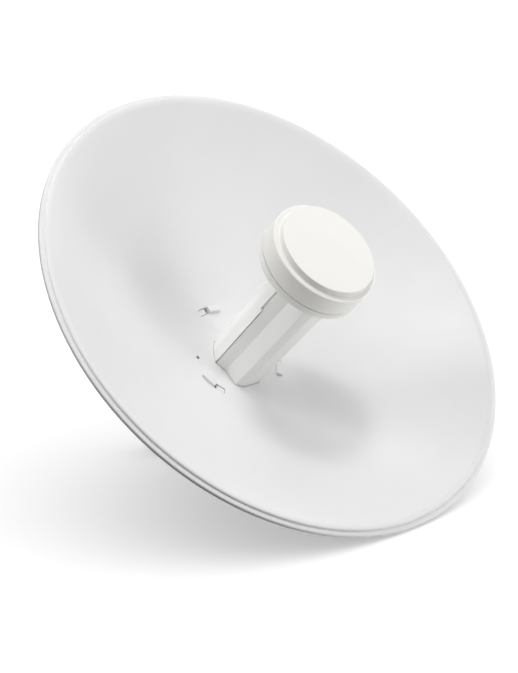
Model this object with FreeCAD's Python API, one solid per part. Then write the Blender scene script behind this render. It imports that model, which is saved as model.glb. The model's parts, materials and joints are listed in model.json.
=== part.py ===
"""Outdoor wireless bridge: a dish reflector, a plug-in radio feed and a tilting pole mount.

The origin is on the pole's axis at the middle of the clamp. +Z runs up the pole and the dish
faces -Y. Sizes are in millimetres.
"""
import FreeCAD
import Part

import os
from math import atan, cos, radians, sin, sqrt

V = FreeCAD.Vector
X_AXIS = V(1, 0, 0)
Y_AXIS = V(0, 1, 0)
Z_AXIS = V(0, 0, 1)

# Driving dimensions
POLE_R = 24.15          # 48.3 mm steel tube
DISH_R = 210.0
DRAIN_PLACE = (-36.4, 4.8)
DISH_DEPTH = 80.5       # from the rim's flange back to the vertex
FOCAL = 124.0
SHEET = 0.8             # dish metal
VERTEX_Y = -88.0        # the dish's front surface on its axis
FLANGE_Y = VERTEX_Y - DISH_DEPTH
GAP = 0.2               # clearance between pieces that lie side by side
SLIDE_GAP = 0.3         # clearance round the sliding feed

# Feed tube, in section: X is half a width, Z a height
TUBE_TOP_Z = 15.5
TUBE_TOP_HALF = 9.5
SHOULDER_Z = 8.2
SHOULDER_HALF = 15.6
SEAM_Z = -2.8
SEAM_HALF = 20.4
SEAM_GAP = 1.0
SEAM_STEP = 3.0         # the seam opens to this height near the cap
SEAM_STEP_LENGTH = 47.0
WAIST_Z = -11.7
WAIST_HALF = 15.1
SKIRT_Z = -26.9
SKIRT_HALF = 15.1
BELLY_Z = -30.4
BELLY_HALF = 8.0
TUBE_WALL = 2.0
TUBE_EDGE_R = 1.1
TUBE_TAPER = 1.065      # growth from the hub to the cap
TAIL_Y = -54.0

# Feed cap: heights are ahead of the flange plane
CAP_R = 46.0
CAP_BACK_H = 43.6
CAP_SEAM_H = 50.6
CAP_SEAM_GAP = 0.8
CAP_EDGE_H = 68.0
CAP_DISC_H = 73.7
CAP_DISC_R = 40.3
CAP_DISC_FOOT_R = 41.7
CAP_WALL = 2.1
CAP_FLOOR_H = CAP_BACK_H + 2.0
ANTENNA_BOARD_H = 57.6
SPLASH_H = 66.4
FEED_PIN_X = 6.0

# Bayonet hooks
HOOK_COUNT = 3
HOOK_START = 76.0       # degrees from +X towards +Z, for the top hook
HOOK_ARC = 16.0
SLOT_OPEN_ARC = 13.0
HOOK_R_IN = 40.6
HOOK_R_OUT = 46.0
HOOK_NECK = 2.0
HOOK_HEIGHT = 2.8
PAD_GAP = 0.4           # between a slot's open half and the pad that fills it
PAD_DROP = 0.45         # pad's face below the dish's front
SLIT_ARC = 2.8          # dark slit between a hook's foot and its pad

# Rear cover
COVER_R = 60.0
COVER_WALL = 2.4
COVER_BACK_Y = -50.0
CHIN_HALF = 24.0
CHIN_Z = -66.0
CHIN_FRONT_Y = -86.0
PLATE_DROP = 1.75       # hook plate's front behind the dish's front
PLATE_THICK = 2.6
GUIDE_WALL = 2.0        # wall of the hook plate's guide round the tube
BOSS_RING_R = 50.0
LEVEL_BOX = (-12.0, 12.0, 40.0, 48.0)   # x and z limits of the spirit level's window

# Release slider
SLIDER_Y1 = -81.0
SLIDER_Y2 = -76.0
BUTTON_HALF = 8.8
BUTTON_TOP_Z = 63.5
YOKE_HALF = 29.0
YOKE_TOP_Z = 49.0
YOKE_BRIDGE_Z = 44.5
YOKE_LOW_Z = -38.0
TOOTH_HALF = 5.4

# Port cover
DOOR_HALF = 19.5
DOOR_TOP_Z = -34.5
BAY_HALF = 17.0
BAY_TOP_Z = -37.0
CABLE_HOLE_R = 5.5

# Tilt pivot and pole mount
PIVOT_Y = -39.0
LOCK_R = 11.0
TILT = 20.0
PLATE_HALF = 30.0
PLATE_T = 2.0
EAR_X1 = 20.0
EAR_X2 = 22.0
EAR_R = 15.0
SIDE_X1 = 22.3
SIDE_X2 = 24.8
SIDE_R = 8.5
SIDE_HALF = 11.0
STEEL = 2.5
SADDLE_ARC = 50.0       # half-angle of each curved seat
SEAT_Y = POLE_R * cos(radians(SADDLE_ARC))
FLANGE_BACK_Y = SEAT_Y + STEEL
JAW_HALF_Z = 20.0
FLANGE_HALF_X = 37.0
CLAMP_BOLT_X = 30.5
CLAMP_BOLT_END_Y = 27.5
CLAMP_WASHER_T = 1.6
CLAMP_NUT_T = 5.0
GROUND_Z = -13.0
M6 = 3.0
M5 = 2.5

# Electronics
BOARD_Z = -6.0
BOARD_T = 1.6
BOARD_HALF = 15.2
BOARD_Y1 = FLANGE_Y - 52.0
BOARD_Y2 = -57.0
JACK_Y = -64.0
JACK_HALF_X = 8.0
JACK_HALF_Y = 6.8
JACK_MOUTH_Z = -27.2
JACK_TOP_Z = BOARD_Z - BOARD_T / 2
PORT_SIDE_X = 10.7      # reset button to one side of the jack, light pipes to the other
PORT_END_Z = -28.2      # outer end of the button and the light pipes
LED_COUNT = 4
LED_PITCH = 4.0
BOARD_TOP_Z = BOARD_Z + BOARD_T / 2
CAN_HALF = 9.0
CAN_HEIGHT = 3.4
RADIO_CAN_Y = (-206.0, -168.0)
PROCESSOR_CAN_Y = (-164.0, -120.0)

# Working limits, beyond every part that they cut
REACH = 70.0
AHEAD_Y = VERTEX_Y - 40.0
TUBE_END_Y = FLANGE_Y - CAP_BACK_H + 0.1


# Helpers

def save(node, shape):
    """Write one node's solids to its STEP file."""
    assert shape.isValid(), node
    shape.exportStep("parts/" + node + ".step")


def box(x1, x2, y1, y2, z1, z2):
    return Part.makeBox(x2 - x1, y2 - y1, z2 - z1, V(x1, y1, z1))


def rod(radius, start, end):
    along = end - start
    return Part.makeCylinder(radius, along.Length, start, along)


def tube(r_out, r_in, start, end):
    return rod(r_out, start, end).cut(rod(r_in, start, end))


def hexagon(across_flats, start, end):
    """A hexagonal prism from start to end."""
    along = end - start
    side = across_flats / sqrt(3.0)
    points = [V(side * cos(radians(60 * i)), side * sin(radians(60 * i)), 0) for i in range(7)]
    prism = Part.Face(Part.makePolygon(points)).extrude(V(0, 0, along.Length))
    prism.Placement = FreeCAD.Placement(start, FreeCAD.Rotation(Z_AXIS, along))
    return prism


def nut(across_flats, r_in, start, end):
    return hexagon(across_flats, start, end).cut(rod(r_in, start, end))


def prism_xz(outline, y1, y2):
    """Extrude an (x, z) outline from y1 to y2."""
    points = [V(x, y1, z) for x, z in outline]
    return Part.Face(Part.makePolygon(points + points[:1])).extrude(V(0, y2 - y1, 0))


def prism_yz(outline, x1, x2):
    points = [V(x1, y, z) for y, z in outline]
    return Part.Face(Part.makePolygon(points + points[:1])).extrude(V(x2 - x1, 0, 0))


def spin(wire_edges):
    """Revolve a closed (radius, y) profile about the dish axis."""
    face = Part.Face(Part.Wire(wire_edges))
    solid = face.revolve(V(0, 0, 0), Y_AXIS, 360)
    return solid if solid.Volume > 0 else solid.reversed()


def turned(profile):
    """Revolve a polygon of (radius, y) points about the dish axis."""
    points = [V(r, y, 0) for r, y in profile]
    return spin(Part.makePolygon(points + points[:1]).Edges)


def arc(centre, radius, a1, a2):
    """Arc in the XY plane through angles a1 to a2, in degrees."""
    def at(angle):
        turn = radians(angle)
        return centre + V(radius * cos(turn), radius * sin(turn), 0)
    return Part.Arc(at(a1), at((a1 + a2) / 2.0), at(a2)).toShape()


def line(a, b):
    return Part.makeLine(a, b)


def sector(r1, r2, a1, a2, y1, y2):
    """A block between two radii and two angles in the XZ plane, from y1 to y2."""
    block = Part.makeCylinder(r2, y2 - y1, V(0, y1, 0), Y_AXIS, 360)
    block = block.cut(Part.makeCylinder(r1, y2 - y1, V(0, y1, 0), Y_AXIS, 360))
    reach = 1.5 * r2
    steps = [a1 + (a2 - a1) * i / 3.0 for i in range(4)]
    fan = [(0, 0)] + [(reach * cos(radians(a)), reach * sin(radians(a))) for a in steps]
    return block.common(prism_xz(fan, y1, y2))


def both_sides(shape):
    """The shape and its mirror image across the middle plane, as separate solids."""
    return Part.makeCompound([shape, shape.mirror(V(0, 0, 0), X_AXIS)])


def fuse(shapes):
    """One solid from touching or overlapping shapes."""
    return shapes[0].fuse(shapes[1:]).removeSplitter()


def grid(xs, zs):
    return [(x, z) for x in xs for z in zs]


def dish_y(radius):
    """Y of the dish's front surface."""
    return VERTEX_Y - radius * radius / (4.0 * FOCAL)


def bowl(drop):
    """Everything over the hub ahead of the dish surface shifted back by drop."""
    steps = 14
    radii = [REACH * i / steps for i in range(steps + 1)]
    points = [V(r, dish_y(r) + drop, 0) for r in radii]
    curve = Part.BSplineCurve()
    curve.interpolate(points)
    outer = V(REACH, AHEAD_Y, 0)
    middle = V(0, AHEAD_Y, 0)
    return spin([curve.toShape(), line(points[-1], outer), line(outer, middle), line(middle, points[0])])


# Dish

def dish_section():
    """Closed profile of the rolled sheet, from inside the hub to the curled rim."""
    crest_r = 204.8
    crest_h = 2.0
    roll = 7.0
    knee = 1.3
    root = 0.4
    lip = 1.3
    skirt_h = 2.6
    hub_r = 8.0
    lip_r = DISH_R - lip
    wall_r = crest_r + knee
    slope = 39.0
    join_r = crest_r - roll * sin(radians(slope))

    def at(r, h):
        return V(r, FLANGE_Y - h, 0)

    def surface(offset):
        points = []
        count = 16
        for i in range(count + 1):
            r = hub_r + (join_r - hub_r) * i / count
            tilt = atan(r / (2.0 * FOCAL))
            points.append(V(r + offset * sin(tilt), dish_y(r) + offset * cos(tilt), 0))
        return points

    roll_c = at(crest_r, crest_h - roll)
    knee_c = at(crest_r, crest_h - knee)
    root_c = at(wall_r + root, root)
    lip_c = at(lip_r, -lip)
    front = surface(0)
    back = surface(SHEET)
    roll_start = roll_c + V(-roll * sin(radians(slope)), -roll * cos(radians(slope)), 0)
    roll_back = roll_c + V(-(roll - SHEET) * sin(radians(slope)),
                           -(roll - SHEET) * cos(radians(slope)), 0)
    front[-1] = roll_start
    back[-1] = roll_back
    front_curve = Part.BSplineCurve()
    front_curve.interpolate(front)
    back_curve = Part.BSplineCurve()
    back_curve.interpolate(back)
    return [
        front_curve.toShape(),
        arc(roll_c, roll, -90 - slope, -90),
        arc(knee_c, knee, -90, 0),
        line(at(wall_r, crest_h - knee), at(wall_r, root)),
        arc(root_c, root, 180, 90),
        line(at(wall_r + root, 0), at(lip_r, 0)),
        arc(lip_c, lip, -90, 0),
        line(at(DISH_R, -lip), at(DISH_R, -skirt_h)),
        line(at(DISH_R, -skirt_h), at(DISH_R - SHEET, -skirt_h)),
        line(at(DISH_R - SHEET, -skirt_h), at(DISH_R - SHEET, -lip)),
        arc(lip_c, lip - SHEET, 0, -90),
        line(at(lip_r, -SHEET), at(wall_r + root, -SHEET)),
        arc(root_c, root + SHEET, 90, 180),
        line(at(wall_r - SHEET, root), at(wall_r - SHEET, crest_h - knee)),
        arc(knee_c, knee - SHEET, 0, -90),
        arc(roll_c, roll - SHEET, -90, -90 - slope),
        back_curve.toShape(),
        line(back[0], front[0]),
    ]


def hook_starts():
    return [HOOK_START - 360.0 * i / HOOK_COUNT for i in range(HOOK_COUNT)]


def reflector_dish():
    """Spun dish with the tube's opening, the hooks' slots and a drain hole."""
    near, far = VERTEX_Y - 12, VERTEX_Y + 8
    neck_gap = HOOK_NECK / 2 + 0.4
    middle = (HOOK_R_IN + HOOK_R_OUT) / 2
    dish = spin(Part.__sortEdges__(dish_section()))
    dish = dish.cut(prism_xz(tube_outline(0.5), near, far))
    for start in hook_starts():
        turn = start + HOOK_ARC
        dish = dish.cut(sector(middle - neck_gap, middle + neck_gap, start - 0.6, turn + 1, near, far))
        dish = dish.cut(sector(HOOK_R_IN - GAP, HOOK_R_OUT + GAP, turn + 0.4, turn + SLOT_OPEN_ARC,
                               near, far))
    x, z = DRAIN_PLACE
    return dish.cut(rod(1.5, V(x, near, z), V(x, far, z)))


# Feed tube

def grown(outline, growth):
    """Move every side of an outline outwards by growth."""
    count = len(outline)
    moved = []
    for i in range(count):
        ax, az = outline[i - 1]
        bx, bz = outline[i]
        cx, cz = outline[(i + 1) % count]
        before = V(bx - ax, 0, bz - az).normalize()
        after = V(cx - bx, 0, cz - bz).normalize()
        out_before = V(-before.z, 0, before.x)
        out_after = V(-after.z, 0, after.x)
        bisector = (out_before + out_after) * (growth / (1 + out_before.dot(out_after)))
        moved.append((bx + bisector.x, bz + bisector.z))
    return moved


def tube_outline(growth, scale=1.0):
    """Outline of the feed tube, clockwise as seen from the front."""
    right = [(TUBE_TOP_HALF, TUBE_TOP_Z), (SHOULDER_HALF, SHOULDER_Z), (SEAM_HALF, SEAM_Z),
             (WAIST_HALF, WAIST_Z), (SKIRT_HALF, SKIRT_Z), (BELLY_HALF, BELLY_Z)]
    left = [(-x, z) for x, z in reversed(right)]
    outline = [(x * scale, z * scale) for x, z in right + left]
    return grown(outline, growth)


def tube_scale(y):
    """The tube's size at y, next to its size in the housing."""
    reach = VERTEX_Y - (FLANGE_Y - CAP_BACK_H)
    return 1.0 + (TUBE_TAPER - 1.0) * max(0.0, VERTEX_Y - y) / reach


def tube_solid(growth):
    """Solid of the feed tube: straight in the housing, widening from the hub to the cap."""
    tail = prism_xz(tube_outline(growth), VERTEX_Y, TAIL_Y)
    wires = []
    for y, scale in ((VERTEX_Y, 1.0), (TUBE_END_Y, TUBE_TAPER)):
        points = [V(x, y, z) for x, z in tube_outline(growth, scale)]
        wires.append(Part.makePolygon(points + points[:1]))
    return tail.fuse(Part.makeLoft(wires, True, True)).removeSplitter()


def long_edges(solid):
    """Edges that run along the tube."""
    return [e for e in solid.Edges if e.BoundBox.YLength > 20]


def tube_shell():
    outer = tube_solid(0)
    outer = outer.makeFillet(TUBE_EDGE_R, long_edges(outer))
    return outer.cut(tube_solid(-TUBE_WALL))


def cap_screw_places():
    return [(-8.5, 11.8), (8.5, 11.8), (-11.5, -26.5), (11.5, -26.5)]


def cap_bosses(z_sign):
    """Bosses for the cap's screws, above or below the seam."""
    return [rod(2.6, V(x, TUBE_END_Y, z), V(x, TUBE_END_Y + 14, z))
            for x, z in cap_screw_places() if z * z_sign > 0]


def cap_pilots():
    return [rod(1.2, V(x, TUBE_END_Y - 1, z), V(x, TUBE_END_Y + 12, z)) for x, z in cap_screw_places()]


def half_shell(z1, z2, z_sign):
    """Part of the tube between two heights, with its cap screw bosses."""
    slab = box(-REACH, REACH, TUBE_END_Y - 1, 0, z1, z2)
    inner = tube_solid(-TUBE_WALL + 0.3)
    bosses = [boss.common(inner).common(slab) for boss in cap_bosses(z_sign)]
    shell = fuse([tube_shell().common(slab)] + bosses)
    for pilot in cap_pilots():
        shell = shell.cut(pilot)
    return shell


def board_posts():
    ys = [BOARD_Y1 + 25, (BOARD_Y1 + BOARD_Y2) / 2, BOARD_Y2 - 26]
    return [(x, y) for y in ys for x in (-11.5, 11.5)]


def feed_upper_shell():
    shell = half_shell(SEAM_Z + SEAM_GAP / 2, REACH, 1)
    step = box(-REACH, REACH, TUBE_END_Y - 1, TUBE_END_Y + SEAM_STEP_LENGTH, SEAM_Z, SEAM_Z + SEAM_STEP)
    return shell.cut(step)


def seam_tongue():
    """Tongue on the lower half that laps behind the upper half's edge."""
    y1, y2 = TUBE_END_Y + 1, TAIL_Y - 3
    top_z = SEAM_Z + SEAM_STEP + 1
    inside = tube_solid(-TUBE_WALL - 0.9)
    tongue = tube_solid(-TUBE_WALL - 0.1).cut(inside)
    tongue = tongue.common(box(-REACH, REACH, y1, y2, SEAM_Z - 1.5, top_z))
    foot = tube_solid(-TUBE_WALL + 0.4).cut(inside)
    return [tongue, foot.common(box(-REACH, REACH, y1, y2, SEAM_Z - 1.5, SEAM_Z - 0.8))]


def feed_lower_shell():
    """Lower half of the tube, with posts for the main board and the openings for the jack."""
    parts = [half_shell(-REACH, SEAM_Z - SEAM_GAP / 2, -1)] + seam_tongue()
    inner = tube_solid(-TUBE_WALL + 0.3)
    for x, y in board_posts():
        parts.append(rod(2.4, V(x, y, BELLY_Z * tube_scale(y)), V(x, y, JACK_TOP_Z)).common(inner))
    shell = fuse(parts)
    for x, y in board_posts():
        shell = shell.cut(rod(1.0, V(x, y, JACK_TOP_Z - 8), V(x, y, JACK_TOP_Z + 1)))
    mouth = box(-JACK_HALF_X - GAP, JACK_HALF_X + GAP, JACK_Y - JACK_HALF_Y - GAP,
                JACK_Y + JACK_HALF_Y + GAP, BELLY_Z - 1, JACK_MOUTH_Z + 4)
    shell = shell.cut(mouth)
    shell = shell.cut(rod(1.9, V(PORT_SIDE_X, JACK_Y, BELLY_Z - 1), V(PORT_SIDE_X, JACK_Y, BELLY_Z + 6)))
    for y in pipe_places():
        shell = shell.cut(rod(1.1, V(-PORT_SIDE_X, y, BELLY_Z - 1), V(-PORT_SIDE_X, y, BELLY_Z + 6)))
    notch = box(-TOOTH_HALF - 0.6, TOOTH_HALF + 0.6, SLIDER_Y1 + 0.8, SLIDER_Y2 - 0.2,
                BELLY_Z - 1, BELLY_Z + 1.4)
    return shell.cut(notch)


def pipe_places():
    """Y of each status light."""
    return [JACK_Y + LED_PITCH * (i - (LED_COUNT - 1) / 2) for i in range(LED_COUNT)]


def tail_plug():
    plug = prism_xz(tube_outline(-TUBE_WALL - 0.1), TAIL_Y - 2.2, TAIL_Y)
    return plug.makeChamfer(0.4, [e for e in plug.Edges if e.BoundBox.YMin > TAIL_Y - 0.1])


# Feed cap

def cap_y(height):
    return FLANGE_Y - height


def cap_base():
    """Shallow cup that closes the cap's back and carries the antenna board."""
    rim_r = CAP_R - 0.1
    rise = CAP_SEAM_H - CAP_SEAM_GAP / 2
    spigot_out = CAP_R - CAP_WALL - 0.5
    spigot_in = spigot_out - 2.6
    groove_r = spigot_out - 1.4
    floor = CAP_FLOOR_H
    profile = [(0, CAP_BACK_H), (rim_r - 1.2, CAP_BACK_H), (rim_r - 0.4, CAP_BACK_H + 0.4),
               (rim_r, CAP_BACK_H + 1.2), (rim_r, rise), (spigot_out, rise),
               (spigot_out, rise + 0.9), (groove_r, rise + 0.9), (groove_r, rise + 2.9),
               (spigot_out, rise + 2.9), (spigot_out, rise + 4.2), (spigot_in, rise + 4.2),
               (spigot_in, floor), (0, floor)]
    base = turned([(r, cap_y(h)) for r, h in profile])
    window = box(-13, 13, cap_y(floor + 1), cap_y(CAP_BACK_H - 1), -22, 8)
    base = base.cut(window.makeFillet(3, [e for e in window.Edges if e.BoundBox.YLength > 3]))
    for x, z in antenna_posts():
        base = base.fuse(rod(3.0, V(x, cap_y(floor - 0.5), z), V(x, cap_y(ANTENNA_BOARD_H - BOARD_T), z)))
    for x, z in cap_screw_places():
        base = base.cut(rod(1.6, V(x, cap_y(CAP_BACK_H - 1), z), V(x, cap_y(floor + 6), z)))
    return base.removeSplitter()


def antenna_posts():
    return [(33.0 * cos(radians(a)), 33.0 * sin(radians(a))) for a in (30, 150, 210, 330)]


def cap_front():
    """Radome: a drum with a lipped ledge and a raised disc."""
    inner_r = CAP_R - CAP_WALL
    bottom = CAP_SEAM_H + CAP_SEAM_GAP / 2
    ledge = CAP_EDGE_H - 0.15

    def at(r, h):
        return V(r, cap_y(h), 0)

    edge_c = at(CAP_R - 1.0, CAP_EDGE_H - 1.0)
    foot = 0.5
    rise_c = at(CAP_DISC_FOOT_R, ledge + foot)
    disc_c = at(CAP_DISC_R, CAP_DISC_H - 0.7)
    edges = [
        line(at(inner_r, bottom), at(CAP_R, bottom)),
        line(at(CAP_R, bottom), at(CAP_R, CAP_EDGE_H - 1.0)),
        arc(edge_c, 1.0, 0, -90),
        line(at(CAP_R - 1.0, CAP_EDGE_H), at(CAP_R - 1.6, CAP_EDGE_H)),
        line(at(CAP_R - 1.6, CAP_EDGE_H), at(CAP_R - 2.1, ledge)),
        line(at(CAP_R - 2.1, ledge), at(CAP_DISC_FOOT_R, ledge)),
        arc(rise_c, foot, 90, 180),
        line(rise_c + V(-foot, 0, 0), disc_c + V(0.7, 0, 0)),
        arc(disc_c, 0.7, 0, -90),
        line(disc_c + V(0, -0.7, 0), at(0, CAP_DISC_H)),
        line(at(0, CAP_DISC_H), at(0, CAP_DISC_H - 2.0)),
        line(at(0, CAP_DISC_H - 2.0), at(CAP_DISC_R - 1.8, CAP_DISC_H - 2.0)),
        line(at(CAP_DISC_R - 1.8, CAP_DISC_H - 2.0), at(CAP_DISC_FOOT_R - 3.0, ledge - 2.0)),
        line(at(CAP_DISC_FOOT_R - 3.0, ledge - 2.0), at(inner_r, ledge - 2.0)),
        line(at(inner_r, ledge - 2.0), at(inner_r, bottom)),
    ]
    return spin(edges)


def cap_seal():
    section = 0.93
    middle_r = CAP_R - CAP_WALL - section - 0.02
    height = CAP_SEAM_H - CAP_SEAM_GAP / 2 + 1.9
    return Part.makeTorus(middle_r, section, V(0, cap_y(height), 0), Y_AXIS)


def cap_screws():
    screws = []
    for x, z in cap_screw_places():
        head = rod(2.4, V(x, cap_y(CAP_FLOOR_H), z), V(x, cap_y(CAP_FLOOR_H + 1.8), z))
        screws.append(head.fuse(rod(1.15, V(x, cap_y(CAP_FLOOR_H), z), V(x, cap_y(CAP_BACK_H - 9), z))))
    return Part.makeCompound(screws)


def antenna_board():
    board = Part.makeCylinder(38.5, BOARD_T, V(0, cap_y(ANTENNA_BOARD_H), 0), Y_AXIS)
    for x in (-FEED_PIN_X, FEED_PIN_X):
        board = board.cut(rod(0.9, V(x, cap_y(60), BOARD_Z), V(x, cap_y(50), BOARD_Z)))
    return board


def spacer_places():
    return [(20.0 * cos(radians(a)), 20.0 * sin(radians(a))) for a in (45, 135, 225, 315)]


def sub_reflector():
    """Splash plate: a dished aluminium disc behind the radome's face."""
    sheet = 1.2
    dish_h = 2.8
    profile = [(0, 0), (26, 0), (36, dish_h), (37.2, dish_h), (37.2, dish_h + sheet),
               (35.6, dish_h + sheet), (25.6, sheet), (0, sheet)]
    return turned([(r, cap_y(SPLASH_H + h)) for r, h in profile])


def board_spacers():
    return Part.makeCompound([tube(2.6, 1.3, V(x, cap_y(ANTENNA_BOARD_H), z), V(x, cap_y(SPLASH_H), z))
                              for x, z in spacer_places()])


def feed_pins():
    """Two pins that carry the signal from the main board to the antenna board."""
    return both_sides(rod(0.8, V(FEED_PIN_X, BOARD_Y1 - 0.2, BOARD_Z),
                          V(FEED_PIN_X, cap_y(ANTENNA_BOARD_H + 0.8), BOARD_Z)))


# Electronics in the tube

def main_board():
    """Long board down the tube, with its front corners cut back for the cap's bosses."""
    low, high = JACK_TOP_Z, BOARD_TOP_Z
    board = box(-BOARD_HALF, BOARD_HALF, BOARD_Y1, BOARD_Y2, low, high)
    notch = box(-BOARD_HALF - 1, -BOARD_HALF + 4.5, BOARD_Y1 - 1, TUBE_END_Y + 4, low - 1, high + 1)
    board = board.cut(notch).cut(notch.mirror(V(0, 0, 0), X_AXIS))
    for x, y in board_posts():
        board = board.cut(rod(1.35, V(x, y, low - 1), V(x, y, high + 1)))
    return board


def board_screws():
    screws = []
    for x, y in board_posts():
        head = rod(2.0, V(x, y, BOARD_TOP_Z), V(x, y, BOARD_TOP_Z + 1.5))
        screws.append(head.fuse(rod(0.95, V(x, y, BOARD_TOP_Z - 7), V(x, y, BOARD_TOP_Z))))
    return Part.makeCompound(screws)


def shield_can(y_range):
    """Stamped cover over part of the board's upper face."""
    y1, y2 = y_range
    sheet = 0.4
    can = box(-CAN_HALF, CAN_HALF, y1, y2, BOARD_TOP_Z, BOARD_TOP_Z + CAN_HEIGHT)
    can = can.makeFillet(0.5, [e for e in can.Edges if e.BoundBox.ZLength > 3])
    inner = box(sheet - CAN_HALF, CAN_HALF - sheet, y1 + sheet, y2 - sheet,
                BOARD_TOP_Z - 1, BOARD_TOP_Z + CAN_HEIGHT - sheet)
    return can.cut(inner)


def radio_shield_can():
    return shield_can(RADIO_CAN_Y)


def processor_shield_can():
    return shield_can(PROCESSOR_CAN_Y)


def chip(x, y, half, height):
    return box(x - half, x + half, y - half, y + half, BOARD_TOP_Z, BOARD_TOP_Z + height)


def board_chips():
    """Processor and memory under one can, radio and amplifier under the other."""
    processor_y = sum(PROCESSOR_CAN_Y) / 2
    radio_y = sum(RADIO_CAN_Y) / 2
    return Part.makeCompound([chip(0, processor_y - 5, 6.0, 1.1), chip(0, processor_y + 11, 4.5, 1.0),
                              chip(0, radio_y + 6, 3.5, 0.9), chip(4, radio_y - 9, 2.5, 0.9)])


def ethernet_transformer():
    half_x = 7.0
    height = 5.8
    block = box(-half_x, half_x, JACK_Y - 20, JACK_Y - 8, BOARD_TOP_Z, BOARD_TOP_Z + height)
    return block.makeChamfer(0.6, [e for e in block.Edges if e.CenterOfMass.z > BOARD_TOP_Z + height - 1])


def ethernet_jack():
    """Socket that opens downwards, with its contact cavity and latch keyway."""
    body = box(-JACK_HALF_X, JACK_HALF_X, JACK_Y - JACK_HALF_Y, JACK_Y + JACK_HALF_Y,
               JACK_MOUTH_Z, JACK_TOP_Z)
    cavity = box(-5.9, 5.9, JACK_Y - 3.6, JACK_Y + 3.2, JACK_MOUTH_Z - 1, JACK_MOUTH_Z + 13)
    keyway = box(-3.0, 3.0, JACK_Y + 3.0, JACK_Y + 5.2, JACK_MOUTH_Z - 1, JACK_MOUTH_Z + 10)
    return body.cut(cavity).cut(keyway)


def jack_contacts():
    """Eight sprung wires that slant into the jack's cavity."""
    count = 8
    pitch = 1.02
    wire_half = 0.2
    root = JACK_Y - 3.6
    tip = JACK_Y - 1.5
    root_z = JACK_MOUTH_Z + 8.4
    tip_z = JACK_MOUTH_Z + 3.0
    side = [(root, root_z), (root, root_z - 2 * wire_half), (tip - 0.1, tip_z), (tip + 0.1, tip_z + 0.3)]
    places = [pitch * (i - (count - 1) / 2) for i in range(count)]
    return Part.makeCompound([prism_yz(side[::-1], x - wire_half, x + wire_half) for x in places])


def status_leds():
    """Small lamps under the board, one over each light pipe."""
    x = -PORT_SIDE_X
    return Part.makeCompound([box(x - 0.8, x + 0.8, y - 0.6, y + 0.6, JACK_TOP_Z - 0.9, JACK_TOP_Z)
                              for y in pipe_places()])


def light_pipes():
    x = -PORT_SIDE_X
    return Part.makeCompound([rod(1.0, V(x, y, PORT_END_Z), V(x, y, JACK_TOP_Z - 1.1))
                              for y in pipe_places()])


def reset_switch():
    half = 2.6
    x = PORT_SIDE_X
    body = box(x - half, x + half, JACK_Y - half, JACK_Y + half, JACK_TOP_Z - 3.0, JACK_TOP_Z)
    return body.fuse(rod(1.3, V(x, JACK_Y, JACK_TOP_Z - 3.5), V(x, JACK_Y, JACK_TOP_Z - 2)))


def reset_button():
    """Plunger with a collar that keeps it in the shell."""
    x = PORT_SIDE_X
    stem = rod(1.7, V(x, JACK_Y, PORT_END_Z), V(x, JACK_Y, JACK_TOP_Z - 4.1))
    collar = rod(2.2, V(x, JACK_Y, BELLY_Z + 6.6), V(x, JACK_Y, BELLY_Z + 7.8))
    return stem.fuse(collar)


# Hub and rear housing

def hook(start):
    """One bayonet hook: a neck through the dish and a foot over its front."""
    middle = (HOOK_R_IN + HOOK_R_OUT) / 2
    end = start + HOOK_ARC
    front = dish_y(middle) - HOOK_HEIGHT
    foot = sector(HOOK_R_IN, HOOK_R_OUT, start, end, front, VERTEX_Y)
    foot = foot.common(bowl(-0.08))
    neck = sector(middle - HOOK_NECK / 2, middle + HOOK_NECK / 2, start + 0.6, end - 0.6, front + 0.5,
                  VERTEX_Y + 2)
    return foot.fuse(neck)


def pad(start):
    """Raised pad on the plate that fills the open half of one slot."""
    first = start + HOOK_ARC + SLIT_ARC
    last = start + HOOK_ARC + SLOT_OPEN_ARC - 0.6
    block = sector(HOOK_R_IN + PAD_GAP, HOOK_R_OUT - PAD_GAP, first, last, VERTEX_Y - 20, VERTEX_Y)
    return block.cut(bowl(PAD_DROP))


def slit(start):
    """Opening through the plate beside a hook's foot."""
    first = start + HOOK_ARC + 0.1
    return sector(HOOK_R_IN + 0.6, HOOK_R_OUT - 0.6, first, first + SLIT_ARC, VERTEX_Y - 20, VERTEX_Y + 4)


def boss_places():
    side = BOSS_RING_R / sqrt(2.0)
    return grid((-side, side), (-side, side))


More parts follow.
